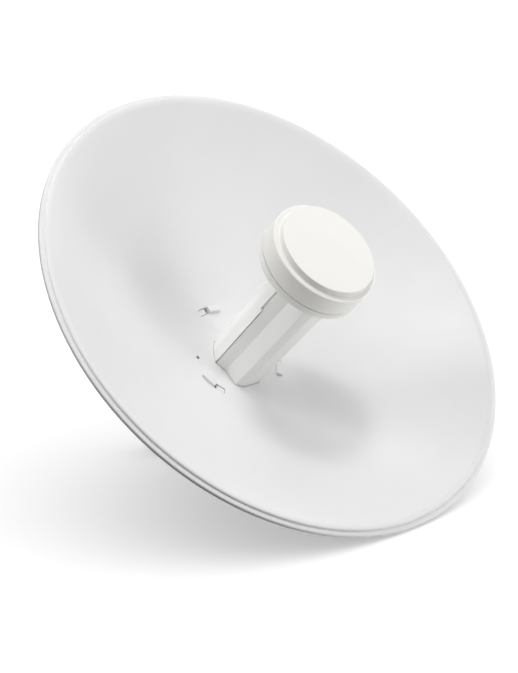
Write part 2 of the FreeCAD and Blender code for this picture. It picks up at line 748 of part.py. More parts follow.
def hook_plate():
    """Front of the housing: a dished plate with the hooks and the guide for the feed tube."""
    plate_r = COVER_R - COVER_WALL - 0.25
    blank = Part.makeCylinder(plate_r, 30, V(0, VERTEX_Y - 20, 0), Y_AXIS)
    plate = blank.cut(bowl(PLATE_DROP))
    plate = plate.common(bowl(PLATE_DROP + PLATE_THICK))
    guide = prism_xz(tube_outline(SLIDE_GAP + GUIDE_WALL), VERTEX_Y + PLATE_DROP + 1.5, TAIL_Y - 2)
    bosses = [rod(4.0, V(x, dish_y(BOSS_RING_R) + PLATE_DROP + 1.5, z),
                  V(x, COVER_BACK_Y - COVER_WALL - 0.1, z)) for x, z in boss_places()]
    pads = [pad(start) for start in hook_starts()]
    plate = fuse([plate, guide] + bosses + pads + [hook(start) for start in hook_starts()])
    for start in hook_starts():
        plate = plate.cut(slit(start))
    plate = plate.cut(prism_xz(tube_outline(SLIDE_GAP), VERTEX_Y - 20, TAIL_Y + 5))
    low = BELLY_Z - 6
    half = TOOTH_HALF + 1.2
    plate = plate.cut(box(-half, half, SLIDER_Y1 - 0.4, SLIDER_Y2 + 0.4, low, BELLY_Z + 1))
    half = SKIRT_HALF + 3
    bay_y = JACK_Y - JACK_HALF_Y - 1.5
    plate = plate.cut(box(-half, half, bay_y, TAIL_Y, low, SKIRT_Z + 0.5))
    x, z = DRAIN_PLACE
    plate = plate.cut(rod(1.5, V(x, VERTEX_Y - 5, z), V(x, VERTEX_Y + 5, z)))
    for x, z in boss_places():
        plate = plate.cut(rod(1.5, V(x, COVER_BACK_Y - 22, z), V(x, COVER_BACK_Y, z)))
    return plate


def tube_seal():
    """Rubber frame round the tube, between the dish and the guide."""
    blank = prism_xz(tube_outline(4.0), VERTEX_Y - 6, VERTEX_Y + 3)
    ring = blank.cut(prism_xz(tube_outline(0.15), VERTEX_Y - 8, VERTEX_Y + 5))
    ring = ring.cut(bowl(SHEET + 0.08))
    return ring.common(bowl(PLATE_DROP - 0.03))


def hub_gasket():
    blank = Part.makeCylinder(COVER_R, 30, V(0, VERTEX_Y - 20, 0), Y_AXIS)
    ring = blank.cut(Part.makeCylinder(COVER_R - COVER_WALL, 30, V(0, VERTEX_Y - 20, 0), Y_AXIS))
    return ring.cut(bowl(SHEET + 0.08)).common(bowl(PLATE_DROP))


def chin(shrink, y1, y2):
    half = CHIN_HALF - shrink
    block = box(-half, half, y1, y2, CHIN_Z + shrink, 0)
    corners = [e for e in block.Edges if e.BoundBox.YLength > 5 and e.CenterOfMass.z < CHIN_Z / 2]
    return block.makeFillet(7.0 - shrink, corners)


def cover_body(shrink, front_y, back_y):
    drum = Part.makeCylinder(COVER_R - shrink, back_y - front_y, V(0, front_y, 0), Y_AXIS)
    return drum.fuse(chin(shrink, CHIN_FRONT_Y + shrink, back_y)).removeSplitter()


def vial_middle():
    return V(0, COVER_BACK_Y - 2.6, (LEVEL_BOX[2] + LEVEL_BOX[3]) / 2)


def tilt_screw_places():
    return grid((-22.0, 22.0), (-20.0, 26.0))


def rear_cover():
    """Moulded shell with a chin over the cable bay."""
    inner_back = COVER_BACK_Y - COVER_WALL
    body = cover_body(0, VERTEX_Y - 20, COVER_BACK_Y)
    rear = [e for e in body.Edges if abs(e.CenterOfMass.y - COVER_BACK_Y) < 0.01]
    body = body.makeFillet(4.0, rear)
    body = body.cut(cover_body(COVER_WALL, VERTEX_Y - 30, inner_back))
    body = body.cut(bowl(PLATE_DROP))
    x1, x2, z1, z2 = LEVEL_BOX
    parts = [body, box(x1 - 1.8, x2 + 1.8, inner_back - 5.4, inner_back + 0.5, z1 - 1.8, z2 + 1.8)]
    for x, z in tilt_screw_places():
        parts.append(rod(3.6, V(x, inner_back - 3.0, z), V(x, inner_back + 0.5, z)))
    body = fuse(parts)
    body = body.cut(box(x1, x2, inner_back - 3.6, COVER_BACK_Y + 1, z1, z2))
    for x, z in tilt_screw_places():
        body = body.cut(rod(1.6, V(x, inner_back - 4, z), V(x, COVER_BACK_Y + 1, z)))
    for x, z in boss_places():
        body = body.cut(rod(1.7, V(x, inner_back - 1, z), V(x, COVER_BACK_Y + 1, z)))
        body = body.cut(rod(3.4, V(x, COVER_BACK_Y - 1.4, z), V(x, COVER_BACK_Y + 1, z)))
    button = BUTTON_HALF + 0.2
    body = body.cut(box(-button, button, SLIDER_Y1 - 0.4, SLIDER_Y2 + 0.4, 40, 70))
    body = body.cut(box(-BAY_HALF, BAY_HALF, inner_back - 1, COVER_BACK_Y + 1, CHIN_Z - 1, BAY_TOP_Z))
    half = BAY_HALF + 2
    body = body.cut(box(-half, half, inner_back - 3, COVER_BACK_Y + 1, CHIN_Z - 1, CHIN_Z + 5))
    body = body.cut(rod(CABLE_HOLE_R, V(0, JACK_Y, CHIN_Z - 1), V(0, JACK_Y, CHIN_Z + 5)))
    return body.cut(box(-CABLE_HOLE_R, CABLE_HOLE_R, JACK_Y, inner_back, CHIN_Z - 1, CHIN_Z + 5))


def cover_screws():
    screws = []
    for x, z in boss_places():
        head_y = COVER_BACK_Y - 1.4
        head = rod(3.1, V(x, head_y, z), V(x, head_y + 1.3, z))
        shank = rod(1.45, V(x, head_y - 14, z), V(x, head_y, z))
        recess = box(x - 1.9, x + 1.9, head_y + 0.5, head_y + 2, z - 0.35, z + 0.35)
        cross = box(x - 0.35, x + 0.35, head_y + 0.5, head_y + 2, z - 1.9, z + 1.9)
        screws.append(head.fuse(shank).cut(recess).cut(cross))
    return Part.makeCompound(screws)


def level_vial():
    """Sealed glass tube of the spirit level, lying across the cover's back."""
    x1, x2, _, _ = LEVEL_BOX
    middle = vial_middle()
    vial = rod(3.0, middle + V(x1 + 0.4, 0, 0), middle + V(x2 - 0.4, 0, 0))
    return vial.makeFillet(1.2, vial.Edges[:1] + vial.Edges[2:3])


def level_bedding():
    """Bedding strip under the vial."""
    x1, x2, z1, z2 = LEVEL_BOX
    middle = vial_middle()
    floor = COVER_BACK_Y - COVER_WALL - 3.6
    strip = box(x1 + 2, x2 - 2, floor, floor + 1.2, z1 + 1.4, z2 - 1.4)
    return strip.cut(rod(3.02, middle + V(-20, 0, 0), middle + V(20, 0, 0)))


# Release slider and port cover

def release_slider():
    """Button, yoke round the tube guide and the tooth under the tube."""
    y1, y2 = SLIDER_Y1, SLIDER_Y2
    limb = 3.0
    head = box(-BUTTON_HALF, BUTTON_HALF, y1, y2, YOKE_TOP_Z, BUTTON_TOP_Z)
    head = head.makeFillet(0.9, [e for e in head.Edges if e.CenterOfMass.z > BUTTON_TOP_Z - 1])
    bridge = box(-YOKE_HALF, YOKE_HALF, y1, y2, YOKE_BRIDGE_Z, YOKE_TOP_Z)
    leg = box(YOKE_HALF - limb, YOKE_HALF, y1, y2, YOKE_LOW_Z, YOKE_BRIDGE_Z + 1)
    foot_z = YOKE_LOW_Z + limb + 0.8
    foot = box(-YOKE_HALF, YOKE_HALF, y1, y2, YOKE_LOW_Z, foot_z)
    tooth = box(-TOOTH_HALF, TOOTH_HALF, y1 + 1.0, y2 - 0.5, foot_z - 1, BELLY_Z - 0.2)
    return fuse([head, bridge, leg, leg.mirror(V(0, 0, 0), X_AXIS), foot, tooth])


def release_spring():
    """Compression spring between the tube guide and the slider's bridge."""
    wire_r = 0.45
    coil_r = 1.9
    low = TUBE_TOP_Z + SLIDE_GAP + GUIDE_WALL
    height = YOKE_BRIDGE_Z - low
    turns = 9
    rise = (height - 2 * wire_r - 0.1) / turns
    helix = Part.makeHelix(rise, rise * turns, coil_r)
    section = Part.Wire(Part.makeCircle(wire_r, V(coil_r, 0, 0), Y_AXIS))
    coil = Part.Wire(helix).makePipeShell([section], True, True)
    coil.translate(V(0, (SLIDER_Y1 + SLIDER_Y2) / 2, low + wire_r + 0.05))
    return coil


def port_cover():
    """Sliding door over the cable bay, held by two lips behind the bay's edges."""
    y_out = COVER_BACK_Y + GAP
    inner = COVER_BACK_Y - COVER_WALL - GAP
    stem_x1 = BAY_HALF - 1.8
    stem_x2 = BAY_HALF - 0.2
    z1, z2 = CHIN_Z + 3, BAY_TOP_Z - 2
    plate = box(-DOOR_HALF, DOOR_HALF, y_out, y_out + 2.0, CHIN_Z + 1, DOOR_TOP_Z)
    plate = plate.makeFillet(0.8, [e for e in plate.Edges if e.CenterOfMass.y > y_out + 1.9])
    stem = box(stem_x1, stem_x2, inner - 0.2, y_out + 0.4, z1, z2)
    lip = box(stem_x1, stem_x2 + 1.6, inner - 1.4, inner, z1, z2)
    ribs = [box(-9, 9, y_out + 1.6, y_out + 2.7, z, z + 1.2) for z in (-45.0, -48.0, -51.0)]
    mirrored = [s.mirror(V(0, 0, 0), X_AXIS) for s in (stem, lip)]
    return fuse([plate, stem, lip] + mirrored + ribs)


# Tilt bracket and pole mount

def at_pivot(radius, angle):
    """(y, z) of a point round the tilt pivot; angle 0 points back along +Y."""
    return PIVOT_Y + radius * cos(radians(angle)), radius * sin(radians(angle))


def cross_hole(radius, from_pivot):
    """Rod along X through one side of the tilt joint, for holes."""
    y = PIVOT_Y + from_pivot
    return rod(radius, V(EAR_X1 - 1, y, 0), V(SIDE_X2 + 1, y, 0))


def tilt_bracket():
    """Steel plate screwed to the rear cover, with an ear bent out each side for the pivot."""
    base = box(-PLATE_HALF, PLATE_HALF, COVER_BACK_Y, COVER_BACK_Y + PLATE_T, -27, 33)
    corners = [e for e in base.Edges if abs(e.BoundBox.YLength - PLATE_T) < 0.01]
    base = base.makeFillet(5.0, corners)
    ear = rod(EAR_R, V(EAR_X1, PIVOT_Y, 0), V(EAR_X2, PIVOT_Y, 0))
    ear = ear.common(box(EAR_X1, EAR_X2, COVER_BACK_Y, 0, -EAR_R, EAR_R))
    ear = ear.fuse(box(EAR_X1, EAR_X2, COVER_BACK_Y, PIVOT_Y, -EAR_R, EAR_R))
    ear = ear.cut(cross_hole(M6 + 0.1, 0.0))
    ear = ear.cut(cross_hole(M5 + 0.05, LOCK_R))
    bracket = fuse([base, ear, ear.mirror(V(0, 0, 0), X_AXIS)])
    for x, z in tilt_screw_places():
        bracket = bracket.cut(rod(2.2, V(x, COVER_BACK_Y - 1, z), V(x, COVER_BACK_Y + 3, z)))
    half = EAR_X1 - 1
    window = box(-half, half, COVER_BACK_Y - 1, COVER_BACK_Y + 3, -EAR_R, EAR_R)
    return bracket.cut(window.makeFillet(4, [e for e in window.Edges if e.BoundBox.YLength > 3]))


def tilt_bracket_screws():
    screws = []
    for x, z in tilt_screw_places():
        y = COVER_BACK_Y + 2
        screws.append(rod(3.6, V(x, y, z), V(x, y + 2.2, z)).fuse(
            rod(1.55, V(x, y - 7, z), V(x, y, z))).cut(
            hexagon(2.5, V(x, y + 0.8, z), V(x, y + 3, z))))
    return Part.makeCompound(screws)


def side_fastener(radius, y, z, flats, head, gap):
    """Bolt from outside through the side plate and ear, and its nut inside."""
    outside = SIDE_X2 + gap
    bolt = hexagon(flats, V(outside, y, z), V(outside + head, y, z))
    bolt = bolt.fuse(rod(radius, V(EAR_X1 - head - 2.0, y, z), V(outside + 0.2, y, z)))
    inside = nut(flats, radius, V(EAR_X1 - 0.1 - head, y, z), V(EAR_X1 - 0.1, y, z))
    return bolt, inside


def pivot_bolts():
    return both_sides(side_fastener(M6, PIVOT_Y, 0, 10, 4.0, 0.0)[0])


def pivot_nuts():
    return both_sides(side_fastener(M6, PIVOT_Y, 0, 10, 4.0, 0.0)[1])


def lock_bolts():
    return both_sides(side_fastener(M5, at_pivot(LOCK_R, 0)[0], 0, 8, 3.5, 0.2)[0])


def lock_nuts():
    return both_sides(side_fastener(M5, at_pivot(LOCK_R, 0)[0], 0, 8, 3.5, 0.2)[1])


def saddle(sign):
    """Curved seat with a flat flange each side; sign is -1 in front of the pole and 1 behind."""
    shell = Part.makeCylinder(POLE_R + STEEL, 2 * JAW_HALF_Z, V(0, 0, -JAW_HALF_Z))
    hollow = Part.makeCylinder(POLE_R, 2 * JAW_HALF_Z, V(0, 0, -JAW_HALF_Z))
    seat_x = POLE_R * sin(radians(SADDLE_ARC))
    fan = Part.makePolygon([V(0, 0, -JAW_HALF_Z), V(-2 * seat_x, 2 * SEAT_Y, -JAW_HALF_Z),
                            V(2 * seat_x, 2 * SEAT_Y, -JAW_HALF_Z), V(0, 0, -JAW_HALF_Z)])
    wedge = Part.Face(fan).extrude(V(0, 0, 2 * JAW_HALF_Z))
    flat = box(seat_x, FLANGE_HALF_X, SEAT_Y, FLANGE_BACK_Y, -JAW_HALF_Z, JAW_HALF_Z)
    corners = [e for e in flat.Edges if e.BoundBox.YLength > 2 and e.CenterOfMass.x > FLANGE_HALF_X - 1]
    flat = flat.makeFillet(6.0, corners).cut(hollow)
    plate = fuse([shell.cut(hollow).common(wedge), flat, flat.mirror(V(0, 0, 0), X_AXIS)])
    if sign < 0:
        plate = plate.mirror(V(0, 0, 0), Y_AXIS)
    return plate


def clamp_holes():
    return [rod(M6 + 0.1, V(x, -FLANGE_BACK_Y - 1, 0), V(x, FLANGE_BACK_Y + 1, 0))
            for x in (-CLAMP_BOLT_X, CLAMP_BOLT_X)]


def pole_bracket():
    """Front half of the pole clamp, with a side plate each side for the tilt pivot."""
    side = box(SIDE_X1, SIDE_X2, PIVOT_Y, -SEAT_Y - 1, -SIDE_HALF, SIDE_HALF)
    side = side.fuse(rod(SIDE_R, V(SIDE_X1, PIVOT_Y, 0), V(SIDE_X2, PIVOT_Y, 0)))
    side = side.cut(cross_hole(M6 + 0.05, 0.0))
    swing = TILT + 1.0
    slot_half = M5 + 0.3
    side = side.cut(lock_slot(LOCK_R - slot_half, LOCK_R + slot_half, swing))
    for angle in (-swing, swing):
        y, z = at_pivot(LOCK_R, angle)
        side = side.cut(rod(slot_half, V(SIDE_X1 - 1, y, z), V(SIDE_X2 + 1, y, z)))
    bracket = fuse([saddle(-1), side, side.mirror(V(0, 0, 0), X_AXIS)])
    for hole in clamp_holes():
        bracket = bracket.cut(hole)
    return bracket.cut(rod(2.1, V(-CLAMP_BOLT_X, PIVOT_Y, GROUND_Z), V(-CLAMP_BOLT_X, 0, GROUND_Z)))


def lock_slot(r1, r2, swing):
    """Curved slot round the pivot, seen from the side."""
    ring = tube(r2, r1, V(SIDE_X1 - 1, PIVOT_Y, 0), V(SIDE_X2 + 1, PIVOT_Y, 0))
    fan = [(PIVOT_Y, 0), at_pivot(2 * r2, -swing), at_pivot(2 * r2, 0), at_pivot(2 * r2, swing)]
    return ring.common(prism_yz(fan, SIDE_X1 - 1, SIDE_X2 + 1))


def carriage_bolts():
    """Two bolts with domed heads on the front flange."""
    sphere_r = 7.2
    dome_height = 2.6
    head_y = -FLANGE_BACK_Y
    bolts = []
    for x in (-CLAMP_BOLT_X, CLAMP_BOLT_X):
        dome = Part.makeSphere(sphere_r, V(x, head_y + sphere_r - dome_height, 0))
        dome = dome.common(box(x - 12, x + 12, head_y - 10, head_y, -12, 12))
        bolts.append(dome.fuse(rod(M6, V(x, head_y - 0.5, 0), V(x, CLAMP_BOLT_END_Y, 0))))
    return Part.makeCompound(bolts)


def clamp_jaw():
    """Rear half of the pole clamp."""
    jaw = saddle(1)
    for hole in clamp_holes():
        jaw = jaw.cut(hole)
    return jaw


def clamp_washers():
    end = FLANGE_BACK_Y + CLAMP_WASHER_T
    return Part.makeCompound([tube(6.0, M6 + 0.1, V(x, FLANGE_BACK_Y, 0), V(x, end, 0))
                              for x in (-CLAMP_BOLT_X, CLAMP_BOLT_X)])


def clamp_nuts():
    start = FLANGE_BACK_Y + CLAMP_WASHER_T
    return Part.makeCompound([nut(10, M6 + 0.05, V(x, start, 0), V(x, start + CLAMP_NUT_T, 0))
                              for x in (-CLAMP_BOLT_X, CLAMP_BOLT_X)])


def ground_screw():
    """Screw and washer for an earth wire, on the front flange."""
    x, y, z = -CLAMP_BOLT_X, -FLANGE_BACK_Y, GROUND_Z
    head = rod(3.4, V(x, y - 3.8, z), V(x, y - 1.0, z))
    washer = rod(4.4, V(x, y - 1.0, z), V(x, y, z))
    return head.fuse(washer).fuse(rod(2.0, V(x, y - 0.5, z), V(x, y + 6, z)))


NODES = {
    "reflector_dish": reflector_dish,
    "hub_gasket": hub_gasket,
    "hook_plate": hook_plate,
    "tube_seal": tube_seal,
    "rear_cover": rear_cover,
    "cover_screws": cover_screws,
    "level_vial": level_vial,
    "level_bedding": level_bedding,
    "tilt_bracket": tilt_bracket,
    "tilt_bracket_screws": tilt_bracket_screws,
    "lock_bolts": lock_bolts,
    "lock_nuts": lock_nuts,
    "release_slider": release_slider,
    "release_spring": release_spring,
    "port_cover": port_cover,
    "feed_upper_shell": feed_upper_shell,
    "feed_lower_shell": feed_lower_shell,
    "tail_plug": tail_plug,
    "cap_base": cap_base,
    "cap_front": cap_front,
    "cap_seal": cap_seal,
    "cap_screws": cap_screws,
    "sub_reflector": sub_reflector,
    "antenna_board": antenna_board,
    "board_spacers": board_spacers,
    "feed_pins": feed_pins,
    "main_board": main_board,
    "board_screws": board_screws,
    "radio_shield_can": radio_shield_can,
    "processor_shield_can": processor_shield_can,
    "board_chips": board_chips,
    "ethernet_transformer": ethernet_transformer,
    "ethernet_jack": ethernet_jack,
    "jack_contacts": jack_contacts,
    "status_leds": status_leds,
    "light_pipes": light_pipes,
    "reset_switch": reset_switch,
    "reset_button": reset_button,
    "pole_bracket": pole_bracket,
    "pivot_bolts": pivot_bolts,
    "pivot_nuts": pivot_nuts,
    "carriage_bolts": carriage_bolts,
    "ground_screw": ground_screw,
    "clamp_jaw": clamp_jaw,
    "clamp_washers": clamp_washers,
    "clamp_nuts": clamp_nuts,
}

os.makedirs("parts", exist_ok=True)
for name, make in NODES.items():
    save(name, make())
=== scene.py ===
"""Looks of the outdoor wireless bridge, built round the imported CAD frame.

Metres throughout, in the row frame: +Z runs up the pole and the dish faces -Y.
"""
import json
from math import cos, pi, radians, sin, sqrt, tau

import bmesh
import bpy
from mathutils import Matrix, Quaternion, Vector


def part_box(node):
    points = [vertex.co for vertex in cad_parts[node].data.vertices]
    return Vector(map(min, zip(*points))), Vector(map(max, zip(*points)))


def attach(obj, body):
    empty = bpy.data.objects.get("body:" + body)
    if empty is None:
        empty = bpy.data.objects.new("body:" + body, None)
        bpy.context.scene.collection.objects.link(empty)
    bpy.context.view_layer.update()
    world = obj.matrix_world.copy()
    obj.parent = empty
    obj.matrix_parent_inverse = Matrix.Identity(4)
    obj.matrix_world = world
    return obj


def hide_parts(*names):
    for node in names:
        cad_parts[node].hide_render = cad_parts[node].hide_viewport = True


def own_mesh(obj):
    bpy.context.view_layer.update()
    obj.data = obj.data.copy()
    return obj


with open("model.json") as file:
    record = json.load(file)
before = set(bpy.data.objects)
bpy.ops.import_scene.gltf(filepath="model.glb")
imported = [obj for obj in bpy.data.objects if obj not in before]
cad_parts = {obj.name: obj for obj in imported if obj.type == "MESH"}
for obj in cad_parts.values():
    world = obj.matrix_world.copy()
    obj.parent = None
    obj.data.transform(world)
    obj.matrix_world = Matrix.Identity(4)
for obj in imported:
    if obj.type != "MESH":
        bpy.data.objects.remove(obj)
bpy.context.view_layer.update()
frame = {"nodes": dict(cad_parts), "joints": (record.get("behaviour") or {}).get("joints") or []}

scene = bpy.context.scene
nodes = frame["nodes"]

joints = {joint["name"]: joint for joint in frame["joints"]}

# Places read from the frame
RIM_BEAD = 0.002            # the rim's front stands this far ahead of its middle
RIM_CENTRE = Vector((0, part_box("reflector_dish")[0].y + RIM_BEAD, 0))

# The clamp's bolts
CLAMP_STEEL = 0.0025        # thickness of the flange under the bolts' heads
CLAMP_BOLT_R = 0.003
THREAD_PITCH = 0.001
THREAD_DEPTH = 0.55         # share of the pitch
DOME_SHARES = (0.04, 0.3, 0.5, 0.7, 0.85, 0.95, 1)   # of the head's radius

# The tilt scale
PIVOT_HEAD = 0.004          # height of the pivot bolts' heads
TICK_STEP = 5               # degrees
TICK_START = 0.0144         # from the pivot
TICK_LONG = 0.0026
TICK_SHORT = 0.0016
TICK_HALF = 0.0002
TICK_RISE = 0.00008
TICK_SLOPE = 0.00005        # width of a tick's sloping flank

# The spirit level's bubble and ring marks
BUBBLE_HALF = 0.0024
BUBBLE_R = 0.0011
BUBBLE_DEPTH = 0.0005       # liquid over the bubble
BUBBLE_STEPS = 12
RING_AT = 0.0029            # from the level's middle
RING_HALF = 0.0003
RING_RISE = 0.00006

# Mesh pieces
ROUND_STEPS = 32
SHARP_ANGLE = radians(40)

# The photograph's view
VIEW_AZIMUTH = radians(-44.86)
VIEW_ELEVATION = radians(-16.98)
VIEW_ROLL = radians(-30.97)
CAMERA_DISTANCE = 1.4365
AIM_RIGHT = -0.0174
AIM_UP = -0.0279
LENS_MM = 96.28
SENSOR_MM = 36.0

# Studio
FLOOR_TILT = radians(16)
FLOOR_DROP = 0.152
FLOOR_SIZE = 30.0
FLOOR_GREY = 0.9
FLOOR_GLOW = 0.18
MIRRORED_SKY = 0.35
LIGHT_DISTANCE = 1.3

# Soft boxes: pan and tilt in degrees about the camera's axes, size in metres, watts
LIGHTS = {
    "key_right": (14, 46, 0.5, 1.9),
    "key_middle": (3, 58, 0.25, 4.3),
    "key_left": (-50, 40, 0.25, 2.2),
    "front_left": (-20, 35, 0.5, 1.5),
    "front_right": (10, 20, 0.5, 1.3),
    "fill_left": (-60, 20, 0.5, 2.9),
    "fill_right": (76, -10, 0.5, 3.0),
    "cross_right": (56, 12, 0.5, 2.9),
    "low_right": (90, -50, 1.1, 8.4),
    "back_right": (120, 10, 1.1, 6.35),
    "high_right": (100, 50, 1.1, 1.3),
    "top": (0, 88, 1.1, 5.2),
    "behind_high": (172, 22, 1.1, 3.6),
    "behind_left": (-160, -8, 1.1, 3.0),
    "behind_low": (165, -40, 1.1, 1.2),
}

# The same, for the feed tube alone
FEED_LIGHTS = {
    "feed_low": (-30, -42, 0.7, 1.3),
}

# The floor's own suns: pan, tilt and spread in degrees, strength
SUNS = {
    "floor_sky": (60, 75, 170, 1.76),
    "floor_front": (0, 60, 170, 1.87),
}


# Camera

def view_axes():
    """The photograph's camera: its turn, and its right, up and back in the row frame."""
    outward = Vector((sin(VIEW_AZIMUTH) * cos(VIEW_ELEVATION),
                      -cos(VIEW_AZIMUTH) * cos(VIEW_ELEVATION),
                      sin(VIEW_ELEVATION)))
    turn = (-outward).to_track_quat("-Z", "Y") @ Quaternion((0, 0, 1), VIEW_ROLL)
    axes = [turn @ Vector(v) for v in ((1, 0, 0), (0, 1, 0), (0, 0, 1))]
    return turn, *axes


TURN, RIGHT, UP, BACK = view_axes()


def add_camera():
    camera = bpy.data.objects.new("camera", bpy.data.cameras.new("camera"))
    scene.collection.objects.link(camera)
    camera.rotation_mode = "QUATERNION"
    camera.rotation_quaternion = TURN
    camera.location = RIM_CENTRE + BACK * CAMERA_DISTANCE + RIGHT * AIM_RIGHT + UP * AIM_UP
    camera.data.sensor_width = SENSOR_MM
    camera.data.lens = LENS_MM
    scene.camera = camera


# Studio

def add_floor(material):
    """A pale floor under the dish as it lies in the view, seen from above only."""
    normal = UP * cos(FLOOR_TILT) + BACK * sin(FLOOR_TILT)
    half = FLOOR_SIZE / 2
    ahead = normal.cross(RIGHT)
    centre = RIM_CENTRE - normal * FLOOR_DROP
    corners = [centre + RIGHT * x * half + ahead * y * half
               for x, y in ((-1, -1), (1, -1), (1, 1), (-1, 1))]
    mesh = bpy.data.meshes.new("floor")
    mesh.from_pydata(corners, [], [(0, 1, 2, 3)])
    floor = bpy.data.objects.new("floor", mesh)
    scene.collection.objects.link(floor)
    mesh.materials.append(material)
    floor.visible_shadow = False
    floor.visible_diffuse = False
    floor.visible_glossy = False
    return floor


def towards(pan, tilt):
    """Direction to a light, by its pan and tilt in degrees about the camera's axes."""
    pan = radians(pan)
    tilt = radians(tilt)
    return RIGHT * sin(pan) * cos(tilt) + UP * sin(tilt) + BACK * cos(pan) * cos(tilt)


def place_light(name, kind, pan, tilt, power, receivers):
    """A light aimed at the rim's middle that shines only on the receivers' collection."""
    data = bpy.data.lights.new(name, kind)
    data.energy = power
    light = bpy.data.objects.new(name, data)
    scene.collection.objects.link(light)
    light.location = RIM_CENTRE + towards(pan, tilt) * LIGHT_DISTANCE
    light.rotation_mode = "QUATERNION"
    light.rotation_quaternion = towards(pan, tilt).to_track_quat("Z", "Y")
    light.visible_camera = False
    light.light_linking.receiver_collection = receivers
    return data


def add_lights(floor):
    """Soft boxes for the object and two broad suns that keep the floor white."""
    floor_only = bpy.data.collections.new("floor_only")
    floor_only.objects.link(floor)
    # A collection that only excludes the floor stands for everything else
    all_but_floor = bpy.data.collections.new("all_but_floor")
    all_but_floor.objects.link(floor)
    all_but_floor.collection_objects[0].light_linking.link_state = "EXCLUDE"
    feed_only = bpy.data.collections.new("feed_only")
    for node in ("feed_upper_shell", "feed_lower_shell"):
        feed_only.objects.link(nodes[node])
    for lights, receivers in ((LIGHTS, all_but_floor), (FEED_LIGHTS, feed_only)):
        for name, (pan, tilt, size, power) in lights.items():
            place_light(name, "AREA", pan, tilt, power, receivers).size = size
    for name, (pan, tilt, spread, power) in SUNS.items():
        place_light(name, "SUN", pan, tilt, power, floor_only).angle = radians(spread)


def add_world():
    """White behind the object, and a pale studio for its metals to mirror."""
    world = bpy.data.worlds.new("studio")
    scene.world = world
    world.use_nodes = True
    tree = world.node_tree
    tree.nodes.clear()
    path = tree.nodes.new("ShaderNodeLightPath")
    sky = tree.nodes.new("ShaderNodeBackground")
    mirrored = tree.nodes.new("ShaderNodeMath")
    mirrored.operation = "MULTIPLY"
    strength = tree.nodes.new("ShaderNodeMath")
    strength.operation = "MAXIMUM"
    out = tree.nodes.new("ShaderNodeOutputWorld")
    mirrored.inputs[1].default_value = MIRRORED_SKY
    sky.inputs["Color"].default_value = (1, 1, 1, 1)
    tree.links.new(path.outputs["Is Glossy Ray"], mirrored.inputs[0])
    tree.links.new(path.outputs["Is Camera Ray"], strength.inputs[0])
    tree.links.new(mirrored.outputs[0], strength.inputs[1])
    tree.links.new(strength.outputs[0], sky.inputs["Strength"])
    tree.links.new(sky.outputs[0], out.inputs[0])


# Materials

class Finish:
    """A node material being built, with object coordinates in metres as its place."""

    def __init__(self, name):
        self.material = bpy.data.materials.new(name)
        self.material.use_nodes = True
        self.tree = self.material.node_tree
        self.shader = self.tree.nodes["Principled BSDF"]
        self.place = self.node("ShaderNodeTexCoord").outputs["Object"]

    def node(self, kind, inputs=None, **settings):
        """Add a node. Inputs are values or the sockets to link."""
        made = self.tree.nodes.new(kind)
        for name, value in settings.items():
            setattr(made, name, value)
        for name, value in (inputs or {}).items():
            self.feed(made.inputs[name], value)
        return made

    def feed(self, socket, value):
        if isinstance(value, bpy.types.NodeSocket):
            self.tree.links.new(value, socket)
        elif isinstance(value, tuple) and len(value) == 3 and socket.type == "RGBA":
            socket.default_value = (*value, 1)
        else:
            socket.default_value = value

    def set(self, **inputs):
        """Feed the main shader; an underscore stands for a space."""
        for name, value in inputs.items():
            self.feed(self.shader.inputs[name.replace("_", " ")], value)

    def stretched(self, scale):
        """The place, scaled along each axis."""
        return self.node("ShaderNodeMapping", {"Vector": self.place, "Scale": scale}).outputs[0]

    def noise(self, scale, detail, at=None):
        inputs = {"Vector": at or self.place, "Scale": scale, "Detail": detail}
        return self.node("ShaderNodeTexNoise", inputs).outputs["Fac"]

    def cells(self, scale, output="Color", distance="EUCLIDEAN"):
        inputs = {"Vector": self.place, "Scale": scale}
        return self.node("ShaderNodeTexVoronoi", inputs, distance=distance).outputs[output]

    def ramp(self, value, start, end, low=0.0, high=1.0):
        """The value's range from start to end, mapped onto low to high and held there."""
        inputs = {"Value": value, "From Min": start, "From Max": end, "To Min": low, "To Max": high}
        return self.node("ShaderNodeMapRange", inputs, clamp=True).outputs[0]

    def math(self, operation, first, second=0.0):
        """The result of one operation on two values."""
        return self.node("ShaderNodeMath", {0: first, 1: second}, operation=operation).outputs[0]

    def mix(self, factor, first, second):
        """A blend of two colours."""
        inputs = {0: factor, 6: first, 7: second}
        return self.node("ShaderNodeMix", inputs, data_type="RGBA").outputs[2]

    def bump(self, height, depth, normal=None):
        """Relief of the given depth in metres, over any other normal."""
        inputs = {"Height": height, "Distance": depth, "Strength": 1.0}
        if normal:
            inputs["Normal"] = normal
        return self.node("ShaderNodeBump", inputs).outputs[0]

    def rounded(self, radius):
        """Normal with the sharp edges eased to a radius."""
        return self.node("ShaderNodeBevel", {"Radius": radius}, samples=4).outputs[0]

    def edge(self, rounded):
        """1 along the sharp edges and 0 on the faces, from the eased normal."""
        face = self.node("ShaderNodeNewGeometry").outputs["Normal"]
        same = self.node("ShaderNodeVectorMath", {0: rounded, 1: face}, operation="DOT_PRODUCT")
        return self.ramp(same.outputs["Value"], 0.995, 0.90)

    def rings(self, scale, detail):
        """Noise that depends only on the distance from the dish's axis."""
        flat = self.stretched((1, 0, 1))
        distance = self.node("ShaderNodeVectorMath", {0: flat}, operation="LENGTH").outputs["Value"]
        scaled = self.math("MULTIPLY", distance, scale)
        return self.noise(1, detail, at=self.node("ShaderNodeCombineXYZ", {"X": scaled}).outputs[0])


def tinted(colour, gain):
    return tuple(channel * gain for channel in colour)


